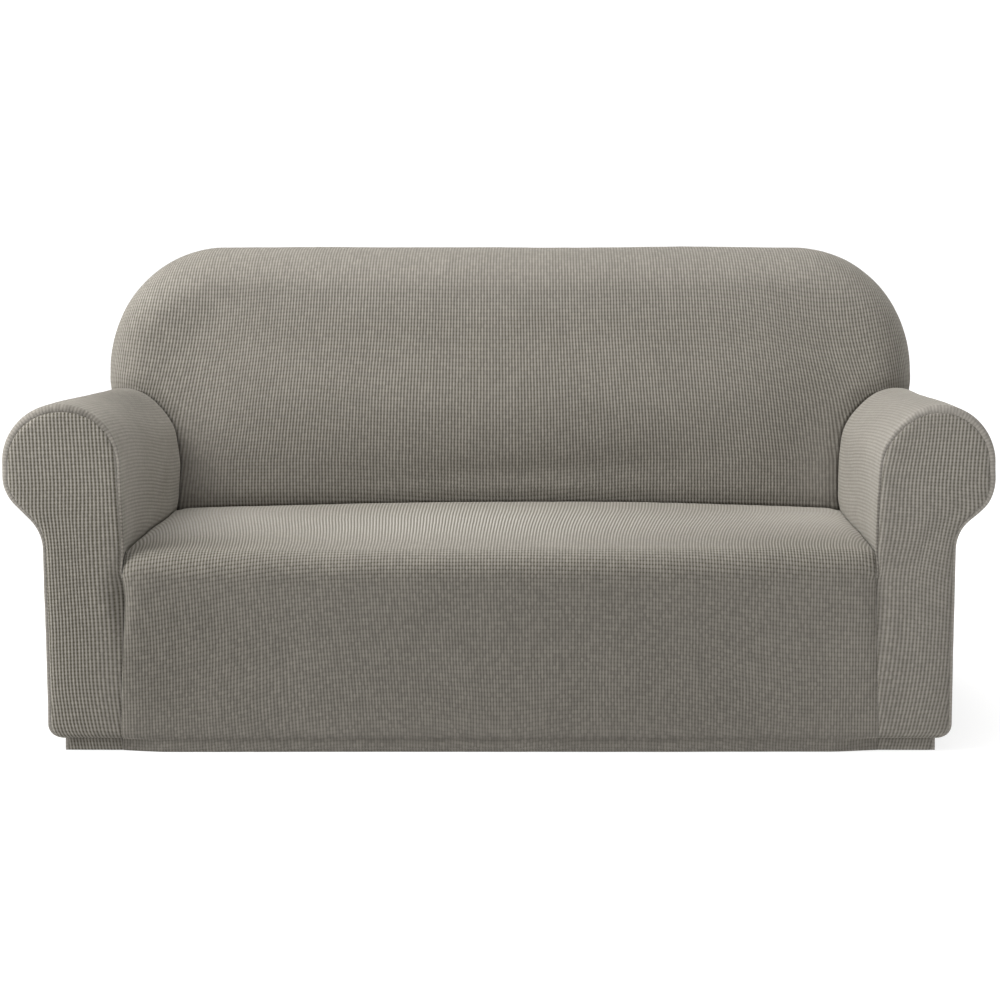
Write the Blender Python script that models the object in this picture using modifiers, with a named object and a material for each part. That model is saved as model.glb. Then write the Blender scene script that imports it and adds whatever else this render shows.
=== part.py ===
"""One-piece stretch slipcover in its fitted shape, with rolled arms and a three-seat back.

The cover is hollow and open at the bottom. Each sewn panel is a thin sheet, made as an open
surface on its outer face and given its thickness inwards. Metres, +Z up, the front faces -Y,
and the origin is the middle of the box at the hem.
"""

from math import acos, cos, exp, pi, radians, sin, sqrt, tan

import bmesh
import bpy
from mathutils import Vector, noise

# Cloth
CLOTH = 0.0025  # thickness of the ribbed stretch knit
SEAM_GAP = 0.0005  # between two sewn panels
SEAM_MARGIN = 0.0035  # flat cloth between a rounded edge and its seam
WELD = 0.00001  # joins the points where two grids touch

# Whole cover
FRONT_Y = -0.430  # face of the arm fronts
REAR_Y = 0.442  # face of the outer back
TOP_Z = 0.921  # crest of the back above the hem
CREASE_HALF = 0.684  # half the seat's width between the inner arms

# Arms: a roll on a slim upright body
ROLL_X = 0.794
ROLL_Z = 0.537
ROLL_R = 0.107
UNDER_R = 0.075  # tighter curve under the outer side of the roll
UNDER_Z = 0.510
UNDER_TURN = radians(45)
UNDER_RUN = 0.034  # straight slope from the roll to the neck
NECK_R = 0.080  # hollow curve from the slope to the upright side
BODY_TUCK_R = 0.028  # bottom of the outer side, turned in to the hem band
ARM_FRONT_FILL = 0.005  # soft filling under the arm fronts
FRONT_ROUND = 0.0075  # arm cloth carried round on to the arm front
REAR_ROUND = 0.020  # cloth carried round on to the outer back

# Hem band
HEM_Z = 0.0226
FRONT_TUCK = 0.014  # the front and rear faces turned in to the hem band
FRONT_TUCK_R = 0.016
TUCK_TOP_Z = 0.055
TUCK_CORNER = 0.050  # along the arm, where the tuck of the face runs out

# Seat
SEAT_Z = 0.382
SEAT_FALL = 0.075  # the sides fall towards the front by this times Y squared
SEAT_EDGE_R = 0.045
SEAT_TURN = 0.100  # over this depth the seat comes forward to the skirt
SEAT_CROWN = 0.010
FOOT_DROP = 2.0  # slope of the margin where the arm's seam meets the seat
SEAM_FOOT_X = 0.697  # foot of the seam beside the seat front
SKIRT_PROUD_LOW = 0.004  # the seat front stands before the arm fronts
SKIRT_PROUD_HIGH = 0.012
SKIRT_TAPER_Z = (0.14, 0.32)  # between the two
SKIRT_VALLEY = 0.040  # width of the valley beside the seat front

# Back
BACK_Y = 0.135  # front of the back at the seat, beside the arms
BACK_RAKE = radians(11)
BACK_HOLLOW = 0.022  # the crease lies deeper in the middle
HOLLOW_SHARE = 0.5  # of the back's height, where the hollow ends
CREASE_RISE = 0.007  # the crease is a little higher in the middle too
BACK_CROWN = 0.016
CROWN_SHARE = 0.5  # the crown fades towards the sides
CROWN_PEAK = 0.45  # share of the back's height where it is fullest
BACK_EASE = 0.140  # below the rounded edge the rake eases off over this height
BACK_HALF = 0.854
BACK_CORNER_R = 0.250
BACK_EDGE_R = 0.090

# Steps of the grids
WALL_STEPS = 5
ROLL_STEPS = 6
EDGE_STEPS = 4
OUTER_STEPS = {"roll": 5, "drop": 1, "under": 4, "slope": 1, "neck": 3, "side": 5, "tuck": 4, "band": 2}
ARM_ROWS = (0.0, 0.027, 0.061, 0.107, 0.19, 0.30, 0.43, 0.57, 0.71, 0.85, 1.0)  # share of the arm's length
ROUND_STEPS = 3
REACH_STEPS = 2  # from the back's edge to the rear rounding
CORNER_STEPS = 6
TOP_STEPS = 10
SEAT_COLUMNS = (0.0, 0.012, 0.030, 0.062, 0.13, 0.25, 0.39, 0.54)  # in from each side, then the middle
SKIRT_STEPS = 5
SKIRT_TUCK_STEPS = 3
ARM_FRONT_STEPS = 9  # across
SHOULDER_STEPS = 2  # from the arm to the start of the back's corner

# Soft folds, each a trough or ridge that fades out along its run
FOLDS = (
    # name, middle, run, half length, half width, push
    ("left valley beside the seat front", (-0.696, -0.435, 0.250), (0, 0, 1), 0.130, 0.011, (0, 0.006, 0)),
    ("right valley beside the seat front", (0.696, -0.435, 0.240), (0, 0, 1), 0.150, 0.011, (0, 0.005, 0)),
    ("left drag from the hem corner", (-0.560, -0.440, 0.110), (0.80, 0, 0.60), 0.190, 0.030, (0, 0.003, 0)),
    ("right drag from the hem corner", (0.580, -0.440, 0.120), (-0.75, 0, 0.66), 0.170, 0.030, (0, 0.003, 0)),
    ("left pull under the roll", (-0.800, -0.428, 0.420), (0.75, 0, -0.66), 0.090, 0.014, (0, 0.003, 0)),
    ("right pull under the roll", (0.805, -0.428, 0.420), (-0.70, 0, -0.71), 0.100, 0.015, (0, 0.003, 0)),
    ("left inner arm slack", (-0.686, -0.080, 0.440), (0, 0.85, 0.53), 0.200, 0.026, (-0.003, 0, 0)),
    ("right inner arm slack", (0.686, -0.100, 0.450), (0, 0.90, 0.44), 0.220, 0.028, (0.003, 0, 0)),
    ("left arm top dent", (-0.800, -0.060, 0.644), (0, 1, 0), 0.240, 0.060, (0, 0, -0.005)),
    ("right arm top dent", (0.800, -0.040, 0.644), (0, 1, 0), 0.250, 0.060, (0, 0, -0.004)),
    ("left shoulder drag", (-0.640, 0.215, 0.760), (0.66, 0, 0.75), 0.170, 0.032, (0, 0.004, 0)),
    ("right shoulder drag", (0.650, 0.215, 0.740), (-0.60, 0, 0.80), 0.200, 0.034, (0, 0.005, 0)),
    ("sitting hollow, left", (-0.330, -0.120, 0.390), (1, 0, 0), 0.300, 0.170, (0, 0, -0.005)),
    ("sitting hollow, right", (0.360, -0.130, 0.390), (1, 0, 0), 0.280, 0.160, (0, 0, -0.004)),
    ("slack at the foot of the back", (0.050, 0.165, 0.455), (1, 0, 0.05), 0.520, 0.030, (0, 0.004, 0)),
    ("fuller under the right roll", (0.880, 0.000, 0.450), (0, 1, 0), 1.600, 0.045, (0.006, 0, -0.005)),
    ("rear left drag", (-0.500, 0.442, 0.300), (0.45, 0, 0.89), 0.300, 0.040, (0, -0.004, 0)),
    ("rear right drag", (0.520, 0.442, 0.320), (-0.50, 0, 0.87), 0.300, 0.040, (0, -0.004, 0)),
)
NOISE_SEED = 7
WAVE = 0.0024  # broad unevenness of the whole cover
WAVE_PER_M = 3.2
RIPPLE = 0.0008
RIPPLE_PER_M = 9.0
HEM_CALM = 0.35  # share of the unevenness left at the hem
HEM_CALM_Z = 0.08

COLOURS = {
    "seat_front": (0.205, 0.189, 0.160),
    "inner_back": (0.212, 0.196, 0.166),
    "outer_back": (0.180, 0.166, 0.141),
    "arm": (0.208, 0.192, 0.163),
    "arm_front": (0.200, 0.184, 0.156),
}
ROUGHNESS = 0.92

CREST_X = BACK_HALF - BACK_CORNER_R  # middle of the corner's curve
CREST_Z = TOP_Z - BACK_CORNER_R
BODY_HALF = UNDER_R * (cos(UNDER_TURN) - 1) - UNDER_RUN * sin(UNDER_TURN) + ROLL_X + ROLL_R
BODY_HALF -= NECK_R * (1 - cos(UNDER_TURN))
LEFT, RIGHT = -1, 1


def mix(a, b, share):
    return a + (b - a) * share


def smooth(low, high, value):
    share = min(max((value - low) / (high - low), 0.0), 1.0)
    return share * share * (3 - 2 * share)


def steps(first, last, count):
    """The points after first, up to last, in equal steps."""
    return [mix(first, last, (i + 1) / count) for i in range(count)]


# Arm section


def roll_height(x):
    return ROLL_Z + sqrt(ROLL_R**2 - (x - ROLL_X) ** 2)


def on_roll(angle, inset):
    return (ROLL_X + (ROLL_R - inset) * cos(angle), ROLL_Z + (ROLL_R - inset) * sin(angle))


def meeting_angle(inset):
    """Where the back's side meets the roll, both drawn in by the inset."""
    return acos((BACK_HALF - inset - ROLL_X) / (ROLL_R - inset))


def edge_turns():
    return [pi / 2 * i / EDGE_STEPS for i in range(EDGE_STEPS + 1)]


def arm_inner(inset, foot_z):
    """Section from the seat crease up the inner arm and over the roll to the back's side."""
    points = []
    for z in [foot_z] + steps(foot_z, ROLL_Z, WALL_STEPS):
        lean = (z - SEAT_Z) / (ROLL_Z - SEAT_Z)
        points.append((mix(CREASE_HALF, ROLL_X - ROLL_R, lean) + inset, z))
    turns = [acos((BACK_HALF - BACK_EDGE_R * (1 - sin(t)) - ROLL_X) / ROLL_R) for t in edge_turns()]
    points += [on_roll(angle, inset) for angle in steps(pi, turns[0], ROLL_STEPS) + turns[1:]]
    return points


def arm_outer(inset, start):
    """Section from the back's side over the roll, under it, and down to the hem, with its tuck."""
    rows = [(*on_roll(angle, inset), 0.0) for angle in [start] + steps(start, 0, OUTER_STEPS["roll"])]
    rows += [(ROLL_X + ROLL_R - inset, z, 0.0) for z in steps(ROLL_Z, UNDER_Z, OUTER_STEPS["drop"])]
    x = ROLL_X + ROLL_R - UNDER_R
    for angle in steps(0, -UNDER_TURN, OUTER_STEPS["under"]):
        rows.append((x + (UNDER_R - inset) * cos(angle), UNDER_Z + (UNDER_R - inset) * sin(angle), 0.0))
    x += (UNDER_R - inset) * cos(UNDER_TURN)
    z = UNDER_Z - (UNDER_R - inset) * sin(UNDER_TURN)
    for run in steps(0, UNDER_RUN, OUTER_STEPS["slope"]):
        rows.append((x - run * sin(UNDER_TURN), z - run * cos(UNDER_TURN), 0.0))
    x, z = rows[-1][:2]
    x += (NECK_R + inset) * cos(UNDER_TURN)
    z -= (NECK_R + inset) * sin(UNDER_TURN)
    for angle in steps(pi - UNDER_TURN, pi, OUTER_STEPS["neck"]):
        rows.append((x + (NECK_R + inset) * cos(angle), z + (NECK_R + inset) * sin(angle), 0.0))
    side_x = BODY_HALF - inset
    tuck_z = HEM_Z + BODY_TUCK_R
    rows += [(side_x, z, 0.0) for z in steps(rows[-1][1], tuck_z, OUTER_STEPS["side"])]
    for turn in steps(0, pi / 2, OUTER_STEPS["tuck"]):
        x = side_x - BODY_TUCK_R * (1 - cos(turn))
        rows.append((x, tuck_z - BODY_TUCK_R * sin(turn), FRONT_TUCK * (1 - cos(turn))))
    rows += [(rows[-1][0], z, FRONT_TUCK) for z in steps(HEM_Z, 0, OUTER_STEPS["band"])]
    return rows


def rounding(radius):
    """Inset and reach of each row that carries the cloth round an edge and on to its seam."""
    rows = [(radius * (1 - cos(turn)), radius * sin(turn)) for turn in steps(0, pi / 2, ROUND_STEPS)]
    return rows + [(radius + SEAM_MARGIN, radius)]


# Seat and back surfaces


def seat_side_z(y):
    """Height of the seat beside an inner arm."""
    start = FRONT_Y + SEAT_EDGE_R
    top = SEAT_Z - SEAT_FALL * min(max(y, start), 0.0) ** 2
    if y > start:
        return top
    return top - SEAT_EDGE_R + sqrt(max(SEAT_EDGE_R**2 - (y - start) ** 2, 0.0))


def back_face_y(x, z):
    """Front of the back, raked and softly filled, and upright where its rounded edge starts."""
    edge_z = TOP_Z - BACK_EDGE_R
    across = max(1 - (x / CREASE_HALF) ** 2, 0.0)
    up = min(max((z - SEAT_Z) / (edge_z - SEAT_Z), 0.0), 1.0)
    hollow = BACK_HOLLOW * across * (1 - smooth(0, HOLLOW_SHARE, up))
    if up < CROWN_PEAK:
        fill = sqrt(sin(pi / 2 * up / CROWN_PEAK))
    else:
        fill = cos(pi / 2 * (up - CROWN_PEAK) / (1 - CROWN_PEAK)) ** 2
    crown = BACK_CROWN * fill * smooth(0, CROWN_SHARE, across)
    eased = min(max(1 - (edge_z - z) / BACK_EASE, 0.0), 1.0)
    run = z - SEAT_Z - BACK_EASE * eased**2 / 2
    return BACK_Y + run * tan(BACK_RAKE) + hollow - crown


def back_shoulder_y():
    """Front of the back where its rounded edge starts, above an arm."""
    x = BACK_HALF - BACK_EDGE_R
    return back_face_y(x, roll_height(x))


def crease_point(share_across):
    """Crease between seat and back, from the left arm at -1 to the right arm at 1."""
    x = CREASE_HALF * share_across
    z = SEAT_Z + CREASE_RISE * (1 - share_across**2)
    return Vector((x, back_face_y(x, z), z))


# Seams shared by neighbouring panels, on the right side


def arm_row_end(column):
    """Y of the back where it crosses each column of the inner arm."""
    x, z = arm_inner(0.0, SEAT_Z)[column]
    edge = column - WALL_STEPS - ROLL_STEPS
    if edge <= 0:
        return back_face_y(x, z)
    return back_shoulder_y() + BACK_EDGE_R * (1 - cos(edge_turns()[edge]))


def arm_inner_rows():
    """Rows of the inner arm from the scroll seam to the back, each from the seat to the back's side."""
    start_y = FRONT_Y + FRONT_ROUND
    columns = WALL_STEPS + ROLL_STEPS + EDGE_STEPS + 1
    ends = [arm_row_end(c) for c in range(columns)]
    rows = []
    for inset, reach in reversed(rounding(FRONT_ROUND)):
        foot = seat_side_z(start_y - reach) - FOOT_DROP * max(inset - FRONT_ROUND, 0.0)
        rows.append([Vector((x, start_y - reach, z)) for x, z in arm_inner(inset, foot)])
    for share in ARM_ROWS:
        foot = seat_side_z(mix(start_y, ends[0], share))
        section = arm_inner(0.0, foot)
        rows.append([Vector((x, mix(start_y, ends[c], share), z)) for c, (x, z) in enumerate(section)])
    return rows


def arm_outer_rows():
    """Rows of the outer arm from the scroll seam to the rear seam, each from the back's side to the hem."""
    start_y = FRONT_Y + FRONT_ROUND
    meet_y = arm_row_end(WALL_STEPS + ROLL_STEPS + EDGE_STEPS)
    stop_y = REAR_Y - REAR_ROUND
    rows = []
    for inset, reach in reversed(rounding(FRONT_ROUND)):
        section = arm_outer(inset, meeting_angle(0.0))
        rows.append([Vector((x, start_y - reach + tuck, z)) for x, z, tuck in section])
    section = arm_outer(0.0, meeting_angle(0.0))
    places = [mix(start_y, meet_y, share) for share in ARM_ROWS] + steps(meet_y, stop_y, REACH_STEPS)
    for y in places:
        near_front = 1 - smooth(start_y, start_y + TUCK_CORNER, y)
        near_rear = 1 - smooth(stop_y, stop_y - TUCK_CORNER, y)
        rows.append([Vector((x, y + tuck * (near_front - near_rear), z)) for x, z, tuck in section])
    for inset, reach in rounding(REAR_ROUND):
        section = arm_outer(inset, meeting_angle(inset))
        rows.append([Vector((x, stop_y + reach - tuck, z)) for x, z, tuck in section])
    return rows


def skirt_seam():
    """Seam beside the seat front, from the foot of the inner arm down to the hem."""
    top = arm_inner_rows()[0][0]
    tuck_z = HEM_Z + FRONT_TUCK_R
    heights = steps(top.z, TUCK_TOP_Z, SKIRT_STEPS)
    rows = [(z, 0.0) for z in [top.z] + heights]
    for turn in [0.0] + steps(0, pi / 2, SKIRT_TUCK_STEPS):
        rows.append((tuck_z - FRONT_TUCK_R * sin(turn), FRONT_TUCK * (1 - cos(turn))))
    rows += [(z, FRONT_TUCK) for z in steps(HEM_Z, 0, OUTER_STEPS["band"])]
    return [Vector((mix(top.x, SEAM_FOOT_X, smooth(top.z, 0.0, z)), top.y + tuck, z)) for z, tuck in rows]


def back_outline(inset, rear):
    """Outline of the back above the arms, right side to left side, drawn in by the inset."""
    x = BACK_HALF - inset
    foot = on_roll(meeting_angle(inset), inset)[1] if rear else roll_height(x)
    points = [(x, z) for z in [foot] + steps(foot, CREST_Z, SHOULDER_STEPS)]
    for angle in steps(0, pi / 2, CORNER_STEPS):
        corner = BACK_CORNER_R - inset
        points.append((CREST_X + corner * cos(angle), CREST_Z + corner * sin(angle)))
    half_top = [(x, TOP_Z - inset) for x in steps(CREST_X, 0, TOP_STEPS // 2)]
    right = points + half_top
    return right + [(-x, z) for x, z in reversed(right[:-1])]


# Panels


def coons(bottom, top, left, right):
    """Rows of points spanning four edges; left and right run upwards, bottom and top to the right."""
    columns, rows = len(bottom) - 1, len(left) - 1
    grid = []
    for r in range(rows + 1):
        v = r / rows
        row = []
        for c in range(columns + 1):
            u = c / columns
            ruled = bottom[c] * (1 - v) + top[c] * v + left[r] * (1 - u) + right[r] * u
            corners = bottom[0] * (1 - u) * (1 - v) + bottom[-1] * u * (1 - v)
            row.append(ruled - corners - top[0] * (1 - u) * v - top[-1] * u * v)
        grid.append(row)
    return grid


def mirrored(row):
    return [Vector((-p.x, p.y, p.z)) for p in row]


def settle(point):
    """Where the snug cloth really lies: soft folds and a little unevenness, the same for all panels."""
    calm = mix(HEM_CALM, 1.0, smooth(0.0, HEM_CALM_Z, point.z))
    moved = noise.noise_vector(point * WAVE_PER_M) * WAVE * calm
    moved += noise.noise_vector(point * RIPPLE_PER_M) * RIPPLE * calm
    for _, middle, run, half_length, half_width, push in FOLDS:
        offset = point - Vector(middle)
        along = offset.dot(Vector(run).normalized())
        across = (offset - Vector(run).normalized() * along).length
        if abs(along) < half_length and across < 3 * half_width:
            fade = cos(pi / 2 * along / half_length) ** 2 * exp(-((across / half_width) ** 2))
            moved += Vector(push) * fade
    return point + moved


def draw_in(mesh, distance):
    """Moves the border inwards along the cloth, half a seam gap from the shared seam."""
    pulls = {}
    for edge in mesh.edges:
        if not edge.is_boundary:
            continue
        run = (edge.verts[1].co - edge.verts[0].co).normalized()
        inward = edge.link_faces[0].calc_center_median() - edge.verts[0].co
        inward = (inward - run * inward.dot(run)).normalized()
        for vert in edge.verts:
            pulls.setdefault(vert, []).append(inward)
    for vert, (first, second) in pulls.items():
        vert.co += distance * (first + second) / max(1 + first.dot(second), 0.3)


def panel(name, colour, grids, flip):
    """A sewn panel from grids of points on its outer face; the grids share their touching edges."""
    mesh = bmesh.new()
    for grid in grids:
        verts = [[mesh.verts.new(settle(point)) for point in row] for row in grid]
        for near, far in zip(verts, verts[1:]):
            for i in range(len(near) - 1):
                corners = (near[i], near[i + 1], far[i + 1], far[i])
                mesh.faces.new(reversed(corners) if flip else corners)
    bmesh.ops.remove_doubles(mesh, verts=mesh.verts, dist=WELD)
    draw_in(mesh, SEAM_GAP / 2)
    data = bpy.data.meshes.new(name)
    mesh.to_mesh(data)
    mesh.free()
    data.shade_smooth()
    data.materials.append(cloth_material(name, colour))
    obj = bpy.data.objects.new(name, data)
    shell = obj.modifiers.new("cloth thickness", "SOLIDIFY")
    shell.thickness = CLOTH
    shell.offset = -1
    shell.use_quality_normals = True
    return obj


def cloth_material(name, colour):
    material = bpy.data.materials.new(name + " cloth")
    material.use_nodes = True
    shader = material.node_tree.nodes["Principled BSDF"]
    shader.inputs["Base Color"].default_value = (*colour, 1)
    shader.inputs["Roughness"].default_value = ROUGHNESS
    shader.inputs["Metallic"].default_value = 0.0
    return material


def arm_panel(name, side):
    inner, outer = arm_inner_rows(), arm_outer_rows()
    grids = [inner, outer]
    if side == LEFT:
        grids = [[mirrored(row) for row in grid] for grid in grids]
    return panel(name, COLOURS["arm"], grids, flip=side == LEFT)


def arm_front_panel(name, side):
    """Key-hole front between the skirt seam, the scroll seam and the hem."""
    scroll = arm_inner_rows()[0] + arm_outer_rows()[0][1:]
    edge = list(reversed(skirt_seam())) + scroll[1:]
    across = ARM_FRONT_STEPS
    upright = (len(edge) - 1 - across) // 2
    inner = edge[: upright + 1]
    over = edge[upright : upright + across + 1]
    outer = list(reversed(edge[upright + across :]))
    hem = [inner[0].lerp(outer[0], c / across) for c in range(across + 1)]
    grid = coons(hem, over, inner, outer)
    for r, row in enumerate(grid):
        for c, point in enumerate(row):
            fill = sin(pi * r / (len(grid) - 1)) * sin(pi * c / across)
            point.y -= ARM_FRONT_FILL * sqrt(max(fill, 0.0))
    if side == LEFT:
        grid = [mirrored(row) for row in grid]
    return panel(name, COLOURS["arm_front"], [grid], flip=side == LEFT)


def seat_shares():
    """Places across the seat, from -1 at the left arm to 1 at the right arm."""
    right = [1 - offset / CREASE_HALF for offset in SEAT_COLUMNS]
    return [-share for share in right] + [0.0] + list(reversed(right))


def seat_row(end, forward, skirt):
    """One row across the seat or skirt. Forward runs from 0 at the back crease to 1 at the front,
    and skirt is how far the row has turned down."""
    row = []
    for share in seat_shares():
        inside = CREASE_HALF * (1 - abs(share))
        fullness = sin(pi / 2 * min(inside / SKIRT_VALLEY, 1.0))
        proud = mix(SKIRT_PROUD_LOW, SKIRT_PROUD_HIGH, smooth(*SKIRT_TAPER_Z, end.z)) * skirt
        crease = crease_point(share)
        y = end.y - proud * fullness + (crease.y - BACK_Y) * (1 - forward)
        crown = SEAT_CROWN * sin(pi * forward) * sqrt(1 - share**2)
        row.append(Vector((end.x * share, y, end.z + crown + (crease.z - SEAT_Z) * (1 - forward))))
    return row


def seat_panel():
    """Seat top from the back crease to the front, then the skirt down to the hem."""
    side = [row[0] for row in reversed(arm_inner_rows())]
    grid = []
    for end in side:
        forward = (side[0].y - end.y) / (side[0].y - FRONT_Y)
        grid.append(seat_row(end, forward, smooth(FRONT_Y + SEAT_TURN, FRONT_Y, end.y)))
    grid += [seat_row(end, 1.0, 1.0) for end in skirt_seam()[1:]]
    return panel("seat_front", COLOURS["seat_front"], [grid], flip=True)


def inner_back_panel():
    """Front of the back between the arms, then the edge carried over the top and sides to the rear seam."""
    arm_end = arm_inner_rows()[-1]
    outline = back_outline(BACK_EDGE_R, rear=False)
    face = [Vector((x, back_face_y(x, z), z)) for x, z in outline]
    rise = SHOULDER_STEPS + CORNER_STEPS // 2
    right = arm_end[: WALL_STEPS + ROLL_STEPS + 1] + face[1 : rise + 1]
    top = list(reversed(face[rise : len(face) - rise]))
    bottom = [crease_point(share) for share in seat_shares()]
    front = coons(bottom, top, mirrored(right), right)
    for row in front:
        for point in row:
            point.y = back_face_y(point.x, point.z)
    strip = []
    for turn in edge_turns():
        points = zip(back_outline(BACK_EDGE_R * (1 - sin(turn)), rear=False), face)
        strip.append([Vector((x, start.y + BACK_EDGE_R * (1 - cos(turn)), z)) for (x, z), start in points])
    crest = strip[-1]
    for share in steps(0, 1, REACH_STEPS):
        strip.append([Vector((p.x, mix(p.y, REAR_Y - REAR_ROUND, share), p.z)) for p in crest])
    for inset, reach in rounding(REAR_ROUND):
        y = REAR_Y - REAR_ROUND + reach
        strip.append([Vector((x, y, z)) for x, z in back_outline(inset, rear=True)])
    strip = [list(reversed(row)) for row in strip]
    return panel("inner_back", COLOURS["inner_back"], [front, strip], flip=False)


def outer_back_panel():
    """Flat rear between the rear seams and the hem."""
    seam = REAR_ROUND + SEAM_MARGIN
    outline = [Vector((x, REAR_Y, z)) for x, z in back_outline(seam, rear=True)]
    rise = SHOULDER_STEPS + CORNER_STEPS // 2
    right = list(reversed(arm_outer_rows()[-1])) + outline[1 : rise + 1]
    top = list(reversed(outline[rise : len(outline) - rise]))
    left = mirrored(right)
    bottom = [left[0].lerp(right[0], c / (len(top) - 1)) for c in range(len(top))]
    grid = coons(bottom, top, left, right)
    return panel("outer_back", COLOURS["outer_back"], [grid], flip=True)


def stand_on_origin(objects):
    """Moves the finished cloth so that the middle of its box at the hem is the origin."""
    points = [vert.co for obj in objects for vert in obj.data.vertices]
    low = Vector([min(p[i] for p in points) for i in range(3)])
    high = Vector([max(p[i] for p in points) for i in range(3)])
    shift = Vector((-(low.x + high.x) / 2, -(low.y + high.y) / 2, -low.z))
    for obj in objects:
        for vert in obj.data.vertices:
            vert.co += shift


for leftover in list(bpy.data.objects):
    bpy.data.objects.remove(leftover)
cover = bpy.data.collections.new("sofa slipcover")
bpy.context.scene.collection.children.link(cover)
noise.seed_set(NOISE_SEED)
panels = [
    seat_panel(),
    inner_back_panel(),
    outer_back_panel(),
    arm_panel("arm_left", LEFT),
    arm_panel("arm_right", RIGHT),
    arm_front_panel("arm_front_left", LEFT),
    arm_front_panel("arm_front_right", RIGHT),
]
stand_on_origin(panels)
for piece in panels:
    cover.objects.link(piece)
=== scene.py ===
from math import acos, cos, pi, radians, sin, sqrt, tan

import bmesh
import bpy
import numpy as np
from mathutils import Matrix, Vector, kdtree, noise


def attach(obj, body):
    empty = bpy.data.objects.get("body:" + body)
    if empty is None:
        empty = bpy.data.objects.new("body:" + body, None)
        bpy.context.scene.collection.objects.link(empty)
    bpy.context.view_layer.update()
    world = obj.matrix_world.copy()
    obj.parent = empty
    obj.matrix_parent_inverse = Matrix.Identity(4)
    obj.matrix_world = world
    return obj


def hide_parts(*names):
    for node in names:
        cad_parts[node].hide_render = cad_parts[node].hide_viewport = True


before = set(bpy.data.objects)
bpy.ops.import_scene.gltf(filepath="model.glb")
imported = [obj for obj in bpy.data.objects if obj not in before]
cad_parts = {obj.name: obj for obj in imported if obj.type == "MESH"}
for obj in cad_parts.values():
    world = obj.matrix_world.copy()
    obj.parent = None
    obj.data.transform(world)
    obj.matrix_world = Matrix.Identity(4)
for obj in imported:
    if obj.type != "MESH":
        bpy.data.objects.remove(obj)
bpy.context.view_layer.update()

left, right = -1, 1

# The fitted outline, in metres. The front faces -Y and the hem stands on Z = 0.
fit = {
    "frontY": -0.430,  # face of the arm fronts
    "rearY": 0.442,
    "topZ": 0.921,
    "creaseHalf": 0.684,  # half the seat's width between the inner arms
    "hemZ": 0.0226,  # top of the hem band
    "frontTuck": 0.014,  # the faces turn in to the hem band
    "tuckRadius": 0.016,
    "tuckTopZ": 0.055,
    "tuckCorner": 0.050,
    "rearRound": 0.020,
    "seamMargin": 0.0035,  # a face stays flat this far inside its seam
}
rearInset = fit["rearRound"] + fit["seamMargin"]

cloth = {
    "thickness": 0.0024,
    "seamGap": 0.00002,
    "weld": 0.00001,
    "sharpCorner": 0.3,  # limits how far a sharp corner of the border moves in
    "noiseSeed": 7,
    "waves": ((0.0024, 3.2), (0.0008, 9.0), (0.00035, 34.0)),  # height, and how many for each metre
    "hemCalm": 0.35,  # share of the waves left at the hem
    "hemCalmZ": 0.08,
    "wander": 0.55,  # how far the ribs stray from straight, in checks
    "wanderPerMetre": 2.4,
}

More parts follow.
